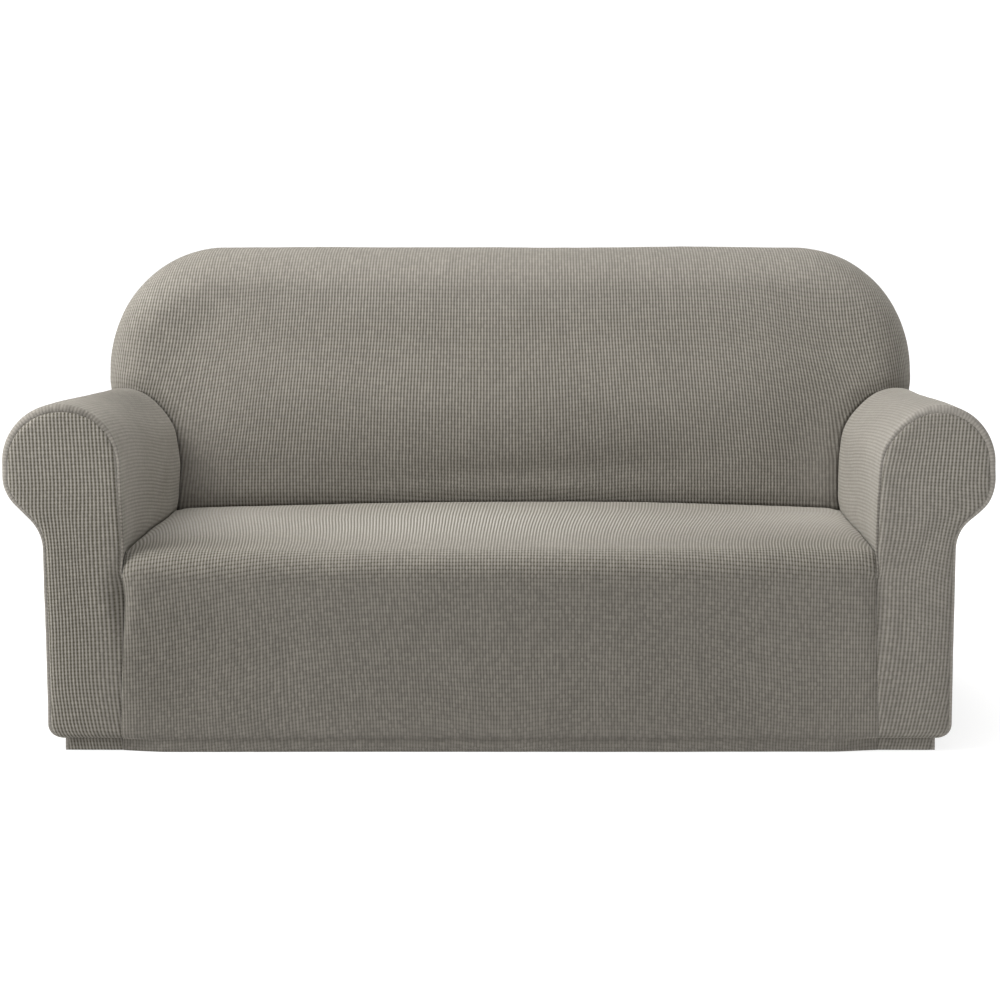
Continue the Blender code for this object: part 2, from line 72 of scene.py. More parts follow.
# Soft folds, each a trough or ridge that fades out along its run
folds = (
    # what it is, middle, run, half length, half width, push
    ("left valley beside the skirt", (-0.696, -0.435, 0.250), (0, 0, 1), 0.130, 0.011, (0, 0.006, 0)),
    ("right valley beside the skirt", (0.696, -0.435, 0.240), (0, 0, 1), 0.150, 0.011, (0, 0.005, 0)),
    ("left drag from the hem", (-0.560, -0.440, 0.110), (0.80, 0, 0.60), 0.190, 0.040, (0, 0.0012, 0)),
    ("right drag from the hem", (0.580, -0.440, 0.120), (-0.75, 0, 0.66), 0.170, 0.040, (0, 0.0012, 0)),
    ("left pull under the roll", (-0.800, -0.428, 0.420), (0.75, 0, -0.66), 0.090, 0.014, (0, 0.003, 0)),
    ("right pull under the roll", (0.805, -0.428, 0.420), (-0.70, 0, -0.71), 0.100, 0.015, (0, 0.003, 0)),
    ("left inner arm slack", (-0.686, -0.080, 0.440), (0, 0.85, 0.53), 0.200, 0.026, (-0.003, 0, 0)),
    ("right inner arm slack", (0.686, -0.100, 0.450), (0, 0.90, 0.44), 0.220, 0.028, (0.003, 0, 0)),
    ("left arm top", (-0.800, 0.140, 0.640), (0, 1, 0), 0.500, 0.100, (0, 0, -0.0060)),
    ("right arm top", (0.800, 0.140, 0.640), (0, 1, 0), 0.500, 0.100, (0, 0, -0.0070)),
    ("left roll, slack inside", (-0.712, 0.130, 0.606), (0, 1, 0), 0.560, 0.078, (-0.013, 0, -0.010)),
    ("left wall, fuller", (-0.684, 0.130, 0.470), (0, 1, 0), 0.500, 0.050, (0.004, 0, 0)),
    ("right roll, slack inside", (0.712, 0.130, 0.606), (0, 1, 0), 0.600, 0.080, (0.014, 0, -0.011)),
    ("right roll, flatter in front", (0.716, -0.430, 0.602), (0, 1, 0), 0.420, 0.066, (0.008, 0, -0.006)),
    ("left shoulder drag", (-0.640, 0.215, 0.760), (0.66, 0, 0.75), 0.170, 0.032, (0, 0.002, 0)),
    ("right shoulder drag", (0.650, 0.215, 0.740), (-0.60, 0, 0.80), 0.200, 0.034, (0, 0.003, 0)),
    ("seat rear, fuller", (0.000, 0.140, 0.385), (1, 0, 0), 2.500, 0.100, (0, 0, 0.0065)),
    ("back top, fuller", (0.000, 0.300, 0.915), (1, 0, 0), 2.000, 0.100, (0, 0, 0.0030)),
    ("sitting hollow, left", (-0.330, -0.120, 0.390), (1, 0, 0), 0.300, 0.170, (0, 0, -0.005)),
    ("sitting hollow, right", (0.360, -0.130, 0.390), (1, 0, 0), 0.280, 0.160, (0, 0, -0.004)),
    ("slack at the foot of the back", (0.050, 0.165, 0.455), (1, 0, 0.05), 0.520, 0.030, (0, 0.004, 0)),
    ("fuller under the right roll", (0.880, 0.000, 0.450), (0, 1, 0), 1.600, 0.045, (0.006, 0, -0.005)),
    ("rear left drag", (-0.500, 0.442, 0.300), (0.45, 0, 0.89), 0.300, 0.040, (0, -0.004, 0)),
    ("rear right drag", (0.520, 0.442, 0.320), (-0.50, 0, 0.87), 0.300, 0.040, (0, -0.004, 0)),
)

drags = {
    # middle, reach, push in checks across and along the ribs
    "seat_front": (
        ((-0.740, -0.430, 0.140), 0.280, (-1.0, -11.0)),
        ((0.740, -0.430, 0.100), 0.340, (1.0, -7.0)),
        ((0.000, -0.430, 0.010), 0.110, (0.0, -2.6)),
        ((-0.250, -0.430, 0.000), 0.250, (-3.6, 0.0)),
        ((-0.640, -0.100, 0.390), 0.160, (-1.2, 0.0)),
        ((0.640, -0.100, 0.390), 0.160, (1.2, 0.0)),
        ((-0.480, -0.440, 0.080), 0.110, (1.4, -1.6)),
        ((0.520, -0.440, 0.090), 0.120, (-1.2, -1.6)),
    ),
    "inner_back": (
        ((0.700, 0.180, 0.660), 0.200, (0.8, 4.0)),
        ((-0.640, 0.240, 0.800), 0.130, (-1.6, 1.4)),
        ((0.660, 0.240, 0.780), 0.120, (1.2, 1.8)),
        ((-0.280, 0.200, 0.620), 0.100, (0.5, 0.8)),
        ((0.300, 0.200, 0.560), 0.120, (-0.6, -0.8)),
        ((0.000, 0.180, 0.500), 0.220, (0.0, 2.6)),
        ((-0.690, 0.180, 0.600), 0.150, (-1.5, 2.0)),
    ),
    "arm_left": (
        ((-0.690, 0.180, 0.420), 0.340, (8.4, 0.0)),
    ),
    "arm_right": (
        ((0.690, 0.180, 0.420), 0.340, (6.8, 0.0)),
    ),
    "arm_front_left": (
        ((-0.780, -0.430, 0.120), 0.100, (1.0, -1.0)),
        ((-0.690, -0.430, 0.300), 0.160, (0.4, -2.6)),
    ),
    "arm_front_right": (
        ((0.760, -0.430, 0.330), 0.070, (1.3, -1.4)),
        ((0.840, -0.430, 0.140), 0.090, (-1.0, -1.4)),
        ((0.690, -0.430, 0.300), 0.160, (-0.4, -4.2)),
    ),
}


def mix(a, b, share):
    return a + (b - a) * share


def smooth(low, high, value):
    share = np.clip((np.asarray(value, float) - low) / (high - low), 0.0, 1.0)
    return share * share * (3 - 2 * share)


def steps(first, last, count):  # the points after first, up to last
    return [mix(first, last, (i + 1) / count) for i in range(count)]


def runLength(points, axis):  # distance covered along one direction of a grid
    gaps = np.linalg.norm(np.diff(points, axis=axis), axis=2)
    shape = list(gaps.shape)
    shape[axis] = 1
    return np.concatenate([np.zeros(shape), np.cumsum(gaps, axis=axis)], axis=axis)


def coons(bottom, top, leftEdge, rightEdge, level=0):  # the first rows, level of them, run straight across
    u = np.linspace(0, 1, len(bottom))[None, :, None]
    v = np.concatenate([np.zeros(level), np.linspace(0, 1, len(leftEdge) - level)])[:, None, None]
    bottom, top = np.array(bottom)[None], np.array(top)[None]
    leftEdge, rightEdge = np.array(leftEdge)[:, None], np.array(rightEdge)[:, None]
    ruled = bottom * (1 - v) + top * v + leftEdge * (1 - u) + rightEdge * u
    corners = bottom[:, :1] * (1 - u) * (1 - v) + bottom[:, -1:] * u * (1 - v)
    return ruled - corners - top[:, :1] * (1 - u) * v - top[:, -1:] * u * v


def mirrored(points):
    return np.array(points) * (-1, 1, 1)


# Arm: a roll on a slim upright body

arm = {
    "rollX": 0.794,
    "rollZ": 0.534,
    "rollRadius": 0.107,
    "underRadius": 0.075,
    "underZ": 0.510,
    "underTurn": radians(45),
    "underRun": 0.034,
    "neckRadius": 0.080,
    "bodyTuck": 0.028,
    "frontFill": 0.006,
    "crowding": 1.25,  # rows lie closer near the scroll seam
    # tone in these looks is painted light and shade: the arm fronts are set darker than the wrap as painted
    # shade on faces turned to the front
    "wrap": {"check": (0.0067, 0.0065), "relief": 0.30, "tone": 1.0, "flat": (1.18, 0.90)},
    "frontLeft": {"check": (0.0067, 0.0067), "relief": 1.15, "tone": 0.93, "flat": (0.205, 0.610),
                  "lean": 0.04, "footBend": 0.005},
    "frontRight": {"check": (0.0069, 0.0066), "relief": 0.80, "tone": 0.92, "flat": (0.205, 0.610),
                   "lean": 0.09, "footBend": 0.012},
    "cells": {"wall": 22, "roll": 22, "edge": 12, "outerRoll": 22, "drop": 4, "under": 10, "slope": 5,
              "neck": 10, "side": 42, "tuck": 8, "band": 4, "along": 76, "reach": 18, "round": 6,
              "front": 27},
}
scrollSeam = {  # how far it lies inside the arm's outline
    # by degrees round the roll, from its outer side
    "roll": ((0, 0.0115), (60, 0.0145), (90, 0.0150), (150, 0.0076), (180, 0.0056)),
    "wall": 0.0048,
    "wallEase": 0.150,  # height under the roll's middle over which it changes
    "side": 0.0060,
    "sideEase": 0.120,
}
frontRibs = {  # they hang straight below the roll and bend at the foot
    "inside": 0.69,
    "width": 0.14,
    "share": 0.35,
    "fromZ": (0.50, 0.38),
    "footZ": 0.06,
}
underX = arm["rollX"] + arm["rollRadius"] - arm["underRadius"]
bodyHalf = arm["rollX"] + arm["rollRadius"] - arm["underRun"] * sin(arm["underTurn"])
bodyHalf -= (arm["underRadius"] + arm["neckRadius"]) * (1 - cos(arm["underTurn"]))

seat = {
    "z": 0.382,
    "fall": 0.075,  # the sides fall towards the front by this times Y squared
    "edgeRadius": 0.045,
    "turn": 0.100,
    "crown": 0.010,
    "footDrop": 2.0,
    "seamFootX": 0.697,
    "proudLow": 0.004,
    "proudHigh": 0.012,
    "proudRight": 0.50,  # less full towards the right arm
    "proudRightFrom": (0.3, 0.9),
    "taperZ": (0.18, 0.33),
    "valley": 0.040,
    "hemTuck": 0.22,
    "hemFlush": 0.09,  # the hem is nearly flush with the skirt this far from the seams
    "crowding": 1.25,  # finer beside the arms
    # tone 0.68 is painted shade on the seat's front skirt; painted light from the table further down lifts
    # the seat top
    "look": {"check": (0.0057, 0.0073), "relief": 0.74, "tone": 0.68, "flat": (1.34, 0.92)},
    "fan": 0.16,  # the ribs spread towards the back
    "skew": 0.005,
    "cells": {"halfWidth": 88, "skirt": 38, "skirtTuck": 6},
}

back = {
    "y": 0.135,
    "rake": radians(11),
    "hollow": 0.022,
    "hollowShare": 0.5,
    "creaseRise": 0.008,
    "crown": 0.016,
    "crownShare": 0.5,
    "crownPeak": 0.45,
    "ease": 0.140,
    "half": 0.854,
    "cornerRadius": 0.250,
    "edgeRadius": 0.090,
    # tone 0.91 darkens the inner back as painted shade; the rear panel keeps tone 1.0
    "look": {"check": (0.0067, 0.0077), "relief": 0.97, "tone": 0.91, "flat": (1.86, 0.80)},
    "rear": {"check": (0.0066, 0.0068), "relief": 0.80, "tone": 1.0, "flat": (1.70, 0.86)},
    "fan": 0.18,  # the ribs close up towards the top, for each metre
    "fanFrom": 0.10,
    "cells": {"shoulder": 12, "corner": 34, "halfTop": 76},
}
crestX = back["half"] - back["cornerRadius"]
crestZ = fit["topZ"] - back["cornerRadius"]


def rollHeight(x):
    return arm["rollZ"] + sqrt(arm["rollRadius"] ** 2 - (x - arm["rollX"]) ** 2)


def meetingAngle(inset):  # where the back's side meets the roll
    return acos((back["half"] - inset - arm["rollX"]) / (arm["rollRadius"] - inset))


def edgeTurns():
    count = arm["cells"]["edge"]
    return [pi / 2 * i / count for i in range(count + 1)]


def arc(x, z, radius, turns):
    return [(x + radius * cos(turn), z + radius * sin(turn), cos(turn), sin(turn)) for turn in turns]


def innerSection(footZ):  # X, Z, outward X, outward Z from the seat crease to the back's side
    cells, radius = arm["cells"], arm["rollRadius"]
    rows = []
    for z in [footZ] + steps(footZ, arm["rollZ"], cells["wall"]):
        lean = (z - seat["z"]) / (arm["rollZ"] - seat["z"])
        rows.append((mix(fit["creaseHalf"], arm["rollX"] - radius, lean), z, -1.0, 0.0))
    side = [back["half"] - back["edgeRadius"] * (1 - sin(turn)) for turn in edgeTurns()]
    turns = [acos((x - arm["rollX"]) / radius) for x in side]
    turns = steps(pi, turns[0], cells["roll"]) + turns[1:]
    return np.array(rows + arc(arm["rollX"], arm["rollZ"], radius, turns))


def outerSection(start):  # the same, down to the hem, and how far each point is tucked in
    cells, radius = arm["cells"], arm["rollRadius"]
    turn, under, neck = arm["underTurn"], arm["underRadius"], arm["neckRadius"]
    turns = [start] + steps(start, 0, cells["outerRoll"])
    rows = [(*row, 0) for row in arc(arm["rollX"], arm["rollZ"], radius, turns)]
    rows += [(arm["rollX"] + radius, z, 1, 0, 0) for z in steps(arm["rollZ"], arm["underZ"], cells["drop"])]
    rows += [(*row, 0) for row in arc(underX, arm["underZ"], under, steps(0, -turn, cells["under"]))]
    x, z = rows[-1][:2]
    for run in steps(0, arm["underRun"], cells["slope"]):
        rows.append((x - run * sin(turn), z - run * cos(turn), cos(turn), -sin(turn), 0))
    x, z = rows[-1][0] + neck * cos(turn), rows[-1][1] - neck * sin(turn)
    for angle in steps(pi - turn, pi, cells["neck"]):
        rows.append((x + neck * cos(angle), z + neck * sin(angle), -cos(angle), -sin(angle), 0))
    tuckZ = fit["hemZ"] + arm["bodyTuck"]
    rows += [(bodyHalf, z, 1, 0, 0) for z in steps(rows[-1][1], tuckZ, cells["side"])]
    for angle in steps(0, pi / 2, cells["tuck"]):
        x = bodyHalf - arm["bodyTuck"] * (1 - cos(angle))
        tucked = fit["frontTuck"] * (1 - cos(angle))
        rows.append((x, tuckZ - arm["bodyTuck"] * sin(angle), 1, 0, tucked))
    rows += [(rows[-1][0], z, 1, 0, fit["frontTuck"]) for z in steps(fit["hemZ"], 0, cells["band"])]
    return np.array(rows)


def scrollInset(section):  # distance of the scroll seam from the outline, along the section
    x, z = section[:, 0] - arm["rollX"], section[:, 1] - arm["rollZ"]
    angles, insets = zip(*scrollSeam["roll"])
    onRoll = np.interp(np.degrees(np.arctan2(z, x)), angles, insets)
    wall = mix(scrollSeam["wall"], insets[-1], smooth(-scrollSeam["wallEase"], 0.0, z))
    outside = mix(scrollSeam["side"], insets[0], smooth(-scrollSeam["sideEase"], 0.0, z))
    return np.where(z >= 0, onRoll, np.where(x < 0, wall, outside))


def roundings(inset):  # per row: inward and forward reach at every point of a section
    radius = inset - fit["seamMargin"]
    turns = [0.0] + steps(0, pi / 2, arm["cells"]["round"])
    rows = [(radius * (1 - cos(turn)), radius * (1 - sin(turn))) for turn in turns]
    return rows + [(inset, radius * 0)]


def ring(shape, inward, y):  # a section drawn in, at y
    return np.stack([shape[:, 0] - shape[:, 2] * inward, y, shape[:, 1] - shape[:, 3] * inward], 1)


def seatSideZ(y):
    start = fit["frontY"] + seat["edgeRadius"]
    top = seat["z"] - seat["fall"] * min(max(y, start), 0.0) ** 2
    if y > start:
        return top
    return top - seat["edgeRadius"] + sqrt(max(seat["edgeRadius"] ** 2 - (y - start) ** 2, 0.0))


def backFaceY(x, z):
    x, z = np.asarray(x, float), np.asarray(z, float)
    across = np.maximum(1 - (x / fit["creaseHalf"]) ** 2, 0.0)
    edgeZ, peak = fit["topZ"] - back["edgeRadius"], back["crownPeak"]
    up = np.clip((z - seat["z"]) / (edgeZ - seat["z"]), 0.0, 1.0)
    hollow = back["hollow"] * across * (1 - smooth(0, back["hollowShare"], up))
    filling = np.sqrt(np.sin(pi / 2 * np.minimum(up / peak, 1.0)))
    easing = np.cos(pi / 2 * (np.maximum(up, peak) - peak) / (1 - peak)) ** 2
    crown = back["crown"] * np.where(up < peak, filling, easing) * smooth(0, back["crownShare"], across)
    eased = np.clip(1 - (edgeZ - z) / back["ease"], 0.0, 1.0)  # turns upright before the rounded edge
    run = z - seat["z"] - back["ease"] * eased**2 / 2
    return back["y"] + run * tan(back["rake"]) + hollow - crown


def creaseLine():
    share = np.linspace(-1, 1, 2 * seat["cells"]["halfWidth"] + 1)
    x = fit["creaseHalf"] * share
    z = seat["z"] + back["creaseRise"] * (1 - share**2)
    return np.stack([x, backFaceY(x, z), z], 1)


def shoulderY():
    x = back["half"] - back["edgeRadius"]
    return float(backFaceY(x, rollHeight(x)))


def backEnds():  # Y of the back at each point of the inner section
    section = innerSection(seat["z"])
    flatPart = arm["cells"]["wall"] + arm["cells"]["roll"]
    ends = backFaceY(section[:, 0], section[:, 1])
    for i, turn in enumerate(edgeTurns()):
        if i:
            ends[flatPart + i] = shoulderY() + back["edgeRadius"] * (1 - cos(turn))
    return ends


alongShares = [share ** arm["crowding"] for share in steps(0, 1, arm["cells"]["along"])]


def innerRows():
    ends = backEnds()
    base = innerSection(seat["z"])
    inset = scrollInset(base)
    rows = []
    for inward, forward in reversed(roundings(inset)):
        y = fit["frontY"] + forward
        drop = seat["footDrop"] * max(float(inward[0] - inset[0] + fit["seamMargin"]), 0.0)
        rows.append(ring(innerSection(seatSideZ(float(y[0])) - drop), inward, y))
    starts = fit["frontY"] + inset - fit["seamMargin"]
    for share in alongShares:
        y = mix(starts, ends, share)
        rows.append(ring(innerSection(seatSideZ(float(y[0]))), 0.0, y))
    return np.array(rows)


def outerRows():
    meetY = backEnds()[-1]
    stopY = fit["rearY"] - fit["rearRound"]
    section = outerSection(meetingAngle(0.0))
    inset = scrollInset(section)
    tuck = section[:, 4]
    rows = []
    for inward, forward in reversed(roundings(inset)):
        rows.append(ring(section, inward, fit["frontY"] + forward + tuck))
    starts = fit["frontY"] + inset - fit["seamMargin"]
    places = [mix(starts, meetY, share) for share in alongShares]
    places += [starts * 0 + y for y in steps(meetY, stopY, arm["cells"]["reach"])]
    for y in places:
        nearFront = 1 - smooth(starts, starts + fit["tuckCorner"], y)
        nearRear = smooth(stopY - fit["tuckCorner"], stopY, y)
        rows.append(ring(section, 0.0, y + tuck * (nearFront - nearRear)))
    for inward, forward in roundings(np.array([rearInset]))[1:]:
        shape = outerSection(meetingAngle(float(inward[0])))
        rows.append(ring(shape, inward[0], fit["rearY"] - forward[0] - shape[:, 4]))
    return np.array(rows)


def skirtSeam(top):
    cells = seat["cells"]
    tuckZ = fit["hemZ"] + fit["tuckRadius"]
    rows = [(z, 0.0) for z in [top[2]] + steps(top[2], fit["tuckTopZ"], cells["skirt"])]
    for turn in [0.0] + steps(0, pi / 2, cells["skirtTuck"]):
        rows.append((tuckZ - fit["tuckRadius"] * sin(turn), fit["frontTuck"] * (1 - cos(turn))))
    rows += [(z, fit["frontTuck"]) for z in steps(fit["hemZ"], 0, arm["cells"]["band"])]
    points = []
    for z, tuck in rows:
        points.append((mix(top[0], seat["seamFootX"], float(smooth(top[2], 0.0, z))), top[1] + tuck, z))
    return np.array(points)


def backOutline(inset, rear):  # X, Z, outward X, outward Z over the back from the right arm to the left arm
    cells = back["cells"]
    x = back["half"] - inset
    if rear:
        foot = arm["rollZ"] + (arm["rollRadius"] - inset) * sin(meetingAngle(inset))
    else:
        foot = rollHeight(x)
    points = [(x, z, 1.0, 0.0) for z in [foot] + steps(foot, crestZ, cells["shoulder"])]
    points += arc(crestX, crestZ, back["cornerRadius"] - inset, steps(0, pi / 2, cells["corner"]))
    points += [(x, fit["topZ"] - inset, 0.0, 1.0) for x in steps(crestX, 0, cells["halfTop"])]
    return np.array(points + [(-x, z, -a, b) for x, z, a, b in reversed(points[:-1])])


def rearTop():  # the seam between the back and the rear panel
    outline = backOutline(rearInset, rear=True)
    return np.stack([outline[:, 0], outline[:, 0] * 0 + fit["rearY"], outline[:, 1]], 1)


# How the cloth settles


def noiseAt(points, perMetre):
    return np.array([noise.noise_vector(Vector(p) * perMetre) for p in points])


def settle(node, points):
    flatPoints = points.reshape(-1, 3)
    calm = mix(cloth["hemCalm"], 1.0, smooth(0.0, cloth["hemCalmZ"], flatPoints[:, 2]))[:, None]
    moved = np.zeros_like(flatPoints)
    for height, perMetre in cloth["waves"]:
        moved += noiseAt(flatPoints, perMetre) * height * calm
    for _, middle, run, halfLength, halfWidth, push in folds:
        direction = np.array(run, float) / np.linalg.norm(run)
        offset = flatPoints - middle
        along = offset @ direction
        across = np.linalg.norm(offset - along[:, None] * direction, axis=1)
        fade = np.cos(pi / 2 * np.clip(along / halfLength, -1, 1)) ** 2 * np.exp(-((across / halfWidth) ** 2))
        moved += fade[:, None] * np.array(push, float)
    pulled = np.zeros_like(flatPoints)
    for tree, pushes, widths, sides in seamPulls:
        spread = sides.get(node, 1.0)
        for i, point in enumerate(flatPoints):
            _, nearest, distance = tree.find(point)
            width = widths[nearest] * spread
            if distance < seamPull["reach"] * width:
                pulled[i] += pushes[nearest] * np.exp(-((distance / width) ** 2))
    return (flatPoints + moved + pulled).reshape(points.shape)


seamPull = {  # how deep and wide each seam or crease is drawn in
    "reach": 2.5,  # no pull beyond this many widths
    "scroll": (0.0010, 0.0045),
    "skirtHigh": (0.0135, 0.0190),
    "skirtLow": (0.0004, 0.008),
    "skirtZ": (0.17, 0.30),
    "skirtStart": (0.335, 0.290),  # it fades in below the seat's edge
    "skirtRight": 0.16,  # the right side is drawn in less
    "skirtSides": {"seat_front": 0.65, "arm_left": 0.8, "arm_right": 0.8},  # narrower on these panels
    "seatArm": (0.0065, 0.013),
    "seatBack": (0.0070, 0.016),
    "armBack": (0.0065, 0.014),
    "rear": (0.0022, 0.006),
    "rearSkip": 4,  # points left out where three seams meet
    "hem": (0.0010, 0.0030),
    "hemHalf": 0.69,
    "hemPoints": 280,
}
seamPulls = []


def addPull(points, directions, depth, width, sides={}):  # sides: share of the width on a panel
    directions = directions / np.linalg.norm(directions, axis=1, keepdims=True)
    depth, width = np.broadcast_to(depth, len(points)), np.broadcast_to(width, len(points))
    tree = kdtree.KDTree(len(points))
    for i, point in enumerate(points):
        tree.insert(Vector(point), i)
    tree.balance()
    seamPulls.append((tree, directions * depth[:, None], width, sides))


def towards(points, direction):
    return np.broadcast_to(np.array(direction, float), points.shape)


def drawSeams():
    inner, outer = innerRows(), outerRows()
    skirt = skirtSeam(inner[0, 0])
    section = innerSection(seat["z"])
    intoBack = np.stack([-section[:, 2], section[:, 0] * 0 + 1.0, -section[:, 3]], 1)
    high = smooth(*seamPull["skirtZ"], skirt[:, 2])
    depth = mix(seamPull["skirtLow"][0], seamPull["skirtHigh"][0], high)
    width = mix(seamPull["skirtLow"][1], seamPull["skirtHigh"][1], high)
    depth = depth * smooth(*seamPull["skirtStart"], skirt[:, 2])
    scroll = np.concatenate([inner[0], outer[0]])
    seatSide = inner[arm["cells"]["round"] + 1 :, 0]
    rearSide = outer[-1, seamPull["rearSkip"] :]
    for side in (left, right):
        flip = np.array((side, 1, 1))
        share = 1.0 if side == left else seamPull["skirtRight"]
        addPull(scroll * flip, towards(scroll, (0, 1, 0)), *seamPull["scroll"])
        addPull(skirt * flip, towards(skirt, (0, 1, 0)), depth * share, width, seamPull["skirtSides"])
        addPull(seatSide * flip, towards(seatSide, (side, 0, -1)), *seamPull["seatArm"])
        addPull(inner[-1] * flip, intoBack * flip, *seamPull["armBack"])
        addPull(rearSide * flip, towards(rearSide, (0, -1, 0)), *seamPull["rear"])
    addPull(creaseLine(), towards(creaseLine(), (0, 1, -1)), *seamPull["seatBack"])
    addPull(rearTop(), towards(rearTop(), (0, -1, 0)), *seamPull["rear"])
    frontX = np.linspace(-seamPull["hemHalf"], seamPull["hemHalf"], seamPull["hemPoints"])
    for y, into in ((fit["frontY"] + fit["frontTuck"], 1), (fit["rearY"] - fit["frontTuck"], -1)):
        hem = np.stack([frontX, frontX * 0 + y, frontX * 0 + fit["hemZ"]], 1)
        addPull(hem, towards(hem, (0, into, 0)), *seamPull["hem"])


def dragged(node, points, weave):  # moves the check pattern along the cloth
    flatPoints, flatWeave = points.reshape(-1, 3), weave.reshape(-1, 2)
    moved = noiseAt(flatPoints, cloth["wanderPerMetre"])[:, :2] * cloth["wander"]
    for middle, reach, push in drags.get(node, ()):
        near = np.exp(-((np.linalg.norm(flatPoints - middle, axis=1) / reach) ** 2))
        moved += near[:, None] * np.array(push, float)
    return (flatWeave + moved).reshape(weave.shape)


def drawIn(mesh, distance):  # moves the border inwards along the cloth, half a seam gap from the seam
    pulls = {}
    for edge in mesh.edges:
        if not edge.is_boundary:
            continue
        run = (edge.verts[1].co - edge.verts[0].co).normalized()
        inward = edge.link_faces[0].calc_center_median() - edge.verts[0].co
        inward = (inward - run * inward.dot(run)).normalized()
        for vert in edge.verts:
            pulls.setdefault(vert, []).append(inward)
    for vert, (first, second) in pulls.items():
        vert.co += distance * (first + second) / max(1 + first.dot(second), cloth["sharpCorner"])


# Where the knit's relief and rows change with stretch, and where its tone carries painted light and painted
# shade
stretchAndPaintedLight = {
    # middle, half sizes, change of relief, of the rows across the ribs and of tone (painted light or painted
    # shade)
    # tone: painted light over the seat top, more at its sides, a little on the skirt's right; painted shade
    # low on the skirt and in the hem crease
    "seat_front": (
        ((0.000, -0.150, 0.400), (0.620, 0.250, 0.050), (0.70, -0.50, 1.02)),
        ((0.000, -0.415, 0.372), (0.900, 0.050, 0.030), (0.00, 0.00, 0.08)),
        ((-0.560, -0.370, 0.378), (0.160, 0.080, 0.030), (0.55, 0.00, 0.10)),
        ((0.580, -0.370, 0.378), (0.160, 0.080, 0.030), (0.55, 0.00, 0.16)),
        ((-0.640, -0.270, 0.380), (0.130, 0.130, 0.050), (0.10, 0.00, 0.36)),
        ((0.640, -0.440, 0.200), (0.280, 0.080, 0.300), (0.00, 0.00, 0.08)),
        ((-0.640, 0.020, 0.390), (0.180, 0.260, 0.060), (-0.40, 0.00, 0.40)),
        ((0.640, 0.020, 0.390), (0.180, 0.260, 0.060), (-0.40, 0.00, 0.30)),
        ((0.000, -0.430, 0.020), (0.900, 0.100, 0.040), (-0.22, 0.00, -0.04)),
        ((-0.640, -0.440, 0.200), (0.160, 0.100, 0.160), (0.15, 0.00, -0.05)),
        ((0.000, -0.430, 0.024), (0.900, 0.100, 0.005), (0.00, 0.00, -0.12)),
        ((0.680, -0.440, 0.150), (0.060, 0.080, 0.220), (0.05, 0.00, 0.06)),
        ((0.000, -0.440, 0.352), (0.900, 0.060, 0.030), (0.10, 0.90, 0.00)),
    ),
    # tone: painted light high on the back and on its right side; painted shade at the top edge and in the
    # creases beside the arms
    "inner_back": (
        ((0.000, 0.150, 0.600), (1.200, 0.400, 0.260), (0.10, -0.35, 0.00)),
        ((0.660, 0.250, 0.850), (0.300, 0.200, 0.160), (0.00, 0.00, 0.16)),
        ((0.600, 0.150, 0.550), (0.300, 0.200, 0.200), (0.00, 0.00, 0.10)),
        ((0.000, 0.250, 0.930), (0.900, 0.200, 0.080), (-0.25, -0.75, -0.08)),
        ((-0.100, 0.250, 0.822), (0.800, 0.300, 0.045), (0.00, 0.00, 0.20)),
        ((0.670, 0.150, 0.450), (0.070, 0.200, 0.130), (-0.35, -0.30, -0.12)),
        ((-0.670, 0.150, 0.450), (0.060, 0.200, 0.130), (-0.30, -0.30, -0.12)),
    ),
    # tone: painted shade on the roll's front, top and inside, down the inner wall and beside the seat's front
    # corner
    "arm_left": (
        ((-0.800, -0.430, 0.560), (0.200, 0.045, 0.200), (0.18, -1.00, -0.06)),
        ((-0.720, -0.100, 0.600), (0.070, 0.350, 0.060), (0.00, 0.00, -0.16)),
        ((-0.690, -0.435, 0.400), (0.030, 0.035, 0.080), (0.30, 0.00, -0.30)),
        ((-0.750, -0.050, 0.635), (0.085, 0.500, 0.080), (0.15, 0.00, -0.50)),
        ((-0.690, -0.100, 0.460), (0.060, 0.600, 0.100), (0.20, 0.00, -0.16)),
        ((-0.780, 0.080, 0.640), (0.090, 0.300, 0.050), (0.00, 0.00, -0.16)),
    ),
    # tone: a little painted light on the roll's front; painted shade beside the seat's front corner
    "arm_right": (
        ((0.800, -0.430, 0.560), (0.200, 0.045, 0.200), (0.15, -1.00, 0.04)),
        ((0.690, -0.435, 0.400), (0.030, 0.035, 0.080), (0.30, 0.00, -0.22)),
        ((0.700, 0.000, 0.500), (0.060, 0.600, 0.200), (0.22, 0.00, 0.00)),
    ),
    # tone: painted shade in the valley beside the skirt, low down and in the hem crease; a little painted
    # light under the roll
    "arm_front_left": (
        ((-0.702, -0.430, 0.338), (0.016, 0.100, 0.050), (-0.25, 0.00, -0.22)),
        ((-0.820, -0.430, 0.560), (0.120, 0.100, 0.100), (0.00, 0.00, 0.06)),
        ((-0.710, -0.430, 0.140), (0.045, 0.100, 0.200), (-0.25, 0.00, -0.12)),
        ((-0.800, -0.430, 0.024), (0.200, 0.100, 0.006), (0.00, 0.00, -0.50)),
        ((-0.800, -0.430, 0.280), (0.070, 0.100, 0.200), (0.20, 0.00, 0.00)),
    ),
    # tone: painted light under the roll; painted shade beside the skirt and in the hem crease
    "arm_front_right": (
        ((0.820, -0.430, 0.540), (0.110, 0.100, 0.120), (0.22, 0.00, 0.14)),
        ((0.700, -0.430, 0.200), (0.045, 0.100, 0.250), (-0.10, 0.00, -0.11)),
        ((0.800, -0.430, 0.024), (0.200, 0.100, 0.005), (0.00, 0.00, -0.40)),
    ),
}


# each panel's relief, rows and tone, with the painted light and painted shade of the table above added
def reliefRowsAndPaintedTone(node, points, look):
    values = [np.full(points.shape[:2], start) for start in (look["relief"], 1.0, look["tone"])]
    for middle, sizes, changes in stretchAndPaintedLight.get(node, ()):
        near = np.exp(-(((points - middle) / sizes) ** 2).sum(2))
        values = [value + near * change for value, change in zip(values, changes)]
    return values


pieces = []


